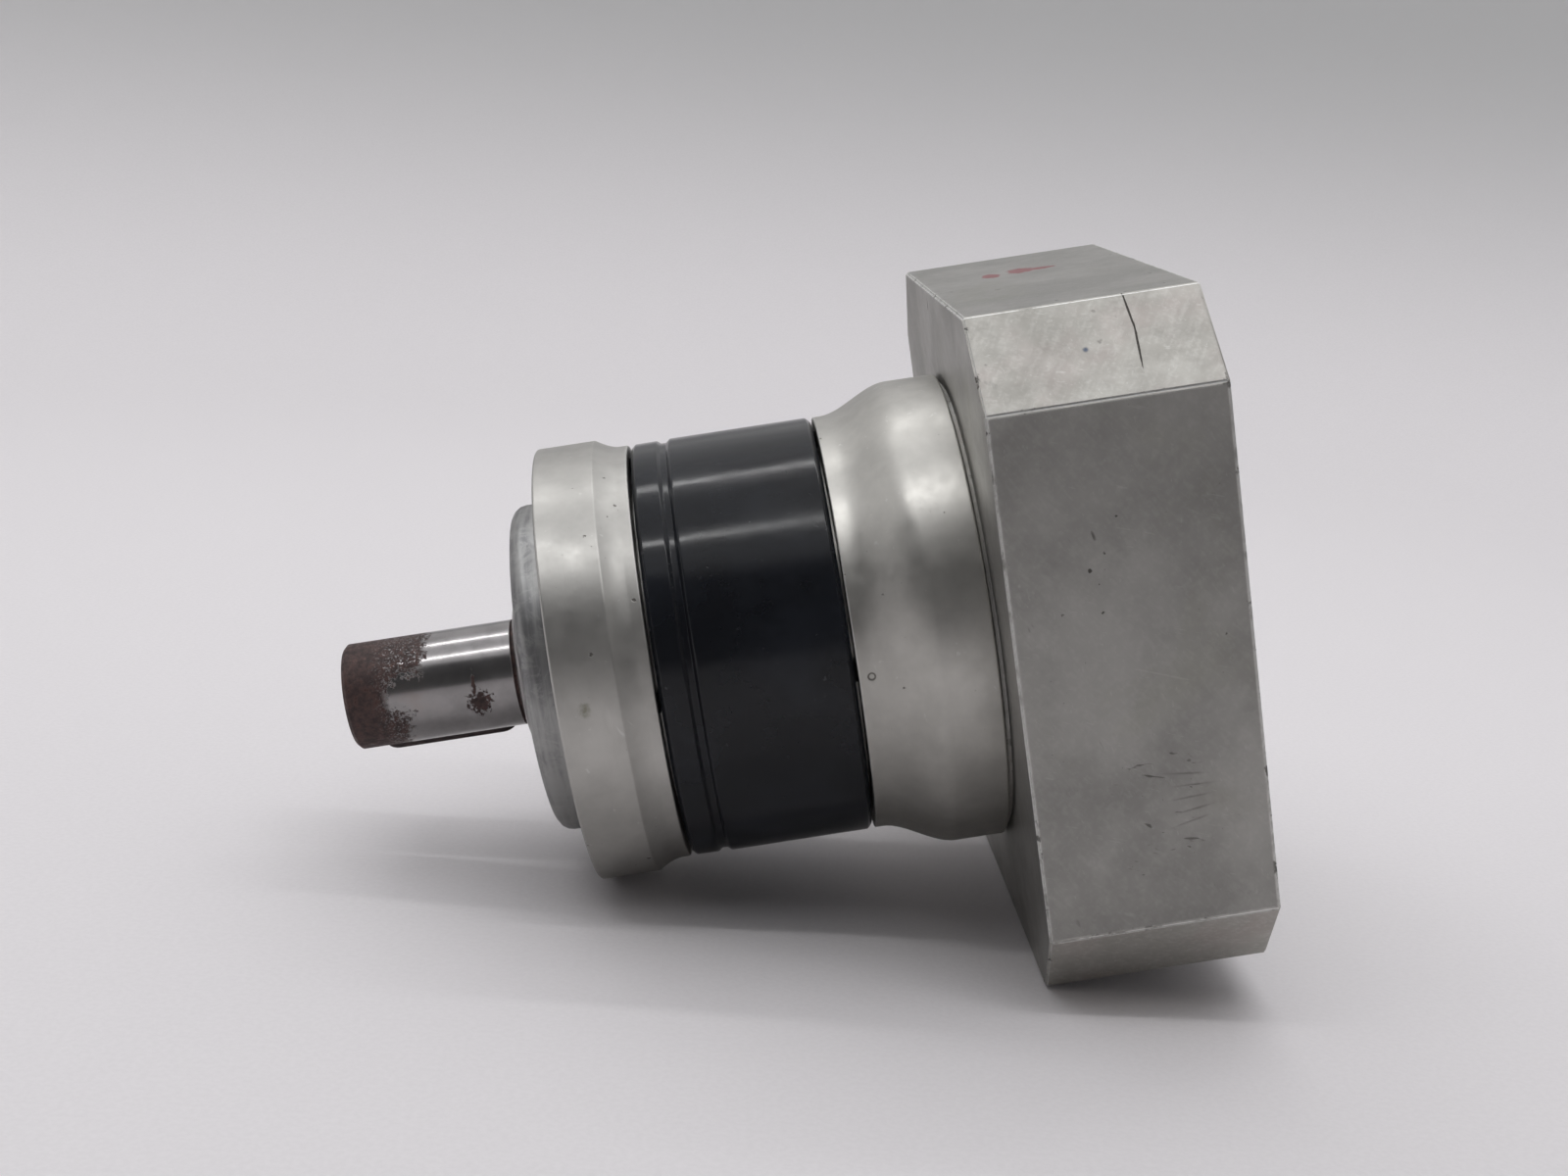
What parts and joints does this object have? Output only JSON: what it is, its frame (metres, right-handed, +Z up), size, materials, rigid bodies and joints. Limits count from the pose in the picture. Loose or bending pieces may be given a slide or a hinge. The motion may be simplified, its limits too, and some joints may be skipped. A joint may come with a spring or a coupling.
{
  "type": "planetary gearbox",
  "caption": "Inline planetary gearbox: keyed output shaft, round flange, black ring gear housing, flared rear housing and a square motor adapter plate.",
  "frame": {"origin": "on the gearbox axis, midway between the output shaft's end and the motor face, which is the centre of the bounding box; the output flange's mounting face is at x = -40.5 mm", "axes": "+X along the gearbox axis towards the motor, so the output shaft points along -X; +Z up, square with the adapter plate's sides; +Y is the side with the access plug"},
  "size_m": [0.173, 0.13, 0.13],
  "materials": {
    "machined_aluminium": "satin turned and milled, lightly tarnished, with small nicks",
    "cast_aluminium": "satin turned, soft highlights",
    "black_steel": "glossy blue-black oxide over turned steel",
    "ground_steel": "ground and polished, brown rust at the shaft's outer end",
    "bearing_steel": "bright ground",
    "rusty_steel": "dark brown rust",
    "spring_steel": "dull phosphated",
    "screw_steel": "black oxide",
    "brass": "plain",
    "seal_rubber": "matt black",
    "plug_plastic": "matt black"
  },
  "bodies": {
    "housing": {"output_flange": "machined_aluminium", "ring_gear": "black_steel", "rear_housing": "cast_aluminium", "adapter_plate": "machined_aluminium", "access_plug": "plug_plastic", "shaft_seal": "seal_rubber", "input_seal": "seal_rubber", "front_o_ring": "seal_rubber", "rear_o_ring": "seal_rubber", "carrier_bearing_circlip": "spring_steel", "input_bearing_circlip": "spring_steel", "tie_screw_1": "screw_steel", "tie_screw_2": "screw_steel", "tie_screw_3": "screw_steel", "tie_screw_4": "screw_steel", "adapter_screw_1": "screw_steel", "adapter_screw_2": "screw_steel", "adapter_screw_3": "screw_steel", "adapter_screw_4": "screw_steel", "front_bearing_outer_ring": "bearing_steel", "carrier_bearing_outer_ring": "bearing_steel", "input_bearing_outer_ring": "bearing_steel"},
    "output": {"output_shaft": "ground_steel", "shaft_key": "rusty_steel", "carrier_plate": "ground_steel", "planet_pin_1": "bearing_steel", "planet_pin_2": "bearing_steel", "planet_pin_3": "bearing_steel", "thrust_washer_front_1": "brass", "thrust_washer_front_2": "brass", "thrust_washer_front_3": "brass", "thrust_washer_rear_1": "brass", "thrust_washer_rear_2": "brass", "thrust_washer_rear_3": "brass", "shaft_circlip": "spring_steel", "front_bearing_inner_ring": "bearing_steel", "carrier_bearing_inner_ring": "bearing_steel"},
    "input": {"sun_shaft": "ground_steel", "clamp_ring": "ground_steel", "clamp_screw": "screw_steel", "motor_shaft_bushing": "ground_steel", "input_bearing_inner_ring": "bearing_steel"},
    "front_rollers": {"front_bearing_rollers": "bearing_steel"},
    "carrier_rollers": {"carrier_bearing_rollers": "bearing_steel"},
    "input_balls": {"input_bearing_balls": "bearing_steel"},
    "planet_1": {"planet_gear_1": "ground_steel"},
    "planet_2": {"planet_gear_2": "ground_steel"},
    "planet_3": {"planet_gear_3": "ground_steel"},
    "needles_1": {"planet_needles_1": "bearing_steel"},
    "needles_2": {"planet_needles_2": "bearing_steel"},
    "needles_3": {"planet_needles_3": "bearing_steel"}
  },
  "joints": [
    {"name": "output_turn", "type": "hinge", "parent": "housing", "child": "output", "pos_m": [0, 0, 0], "axis": [1, 0, 0], "continuous": true},
    {"name": "input_turn", "type": "hinge", "parent": "housing", "child": "input", "pos_m": [0, 0, 0], "axis": [1, 0, 0], "continuous": true},
    {"name": "front_rollers_turn", "type": "hinge", "parent": "housing", "child": "front_rollers", "pos_m": [0, 0, 0], "axis": [1, 0, 0], "continuous": true},
    {"name": "carrier_rollers_turn", "type": "hinge", "parent": "housing", "child": "carrier_rollers", "pos_m": [0, 0, 0], "axis": [1, 0, 0], "continuous": true},
    {"name": "input_balls_turn", "type": "hinge", "parent": "housing", "child": "input_balls", "pos_m": [0, 0, 0], "axis": [1, 0, 0], "continuous": true},
    {"name": "planet_1_turn", "type": "hinge", "parent": "output", "child": "planet_1", "pos_m": [0, 0, 0.02025], "axis": [1, 0, 0], "continuous": true},
    {"name": "planet_2_turn", "type": "hinge", "parent": "output", "child": "planet_2", "pos_m": [0, -0.01754, -0.01013], "axis": [1, 0, 0], "continuous": true},
    {"name": "planet_3_turn", "type": "hinge", "parent": "output", "child": "planet_3", "pos_m": [0, 0.01754, -0.01013], "axis": [1, 0, 0], "continuous": true},
    {"name": "needles_1_turn", "type": "hinge", "parent": "output", "child": "needles_1", "pos_m": [0, 0, 0.02025], "axis": [1, 0, 0], "continuous": true},
    {"name": "needles_2_turn", "type": "hinge", "parent": "output", "child": "needles_2", "pos_m": [0, -0.01754, -0.01013], "axis": [1, 0, 0], "continuous": true},
    {"name": "needles_3_turn", "type": "hinge", "parent": "output", "child": "needles_3", "pos_m": [0, 0.01754, -0.01013], "axis": [1, 0, 0], "continuous": true}
  ],
  "couplings": [
    {"joint": "input_turn", "follows": "output_turn", "ratio": 5},
    {"joint": "front_rollers_turn", "follows": "output_turn", "ratio": 0.41765},
    {"joint": "carrier_rollers_turn", "follows": "output_turn", "ratio": 0.43922},
    {"joint": "input_balls_turn", "follows": "output_turn", "ratio": 2.0789},
    {"joint": "planet_1_turn", "follows": "output_turn", "ratio": -2.6667},
    {"joint": "planet_2_turn", "follows": "output_turn", "ratio": -2.6667},
    {"joint": "planet_3_turn", "follows": "output_turn", "ratio": -2.6667},
    {"joint": "needles_1_turn", "follows": "output_turn", "ratio": -1.5782},
    {"joint": "needles_2_turn", "follows": "output_turn", "ratio": -1.5782},
    {"joint": "needles_3_turn", "follows": "output_turn", "ratio": -1.5782}
  ]
}
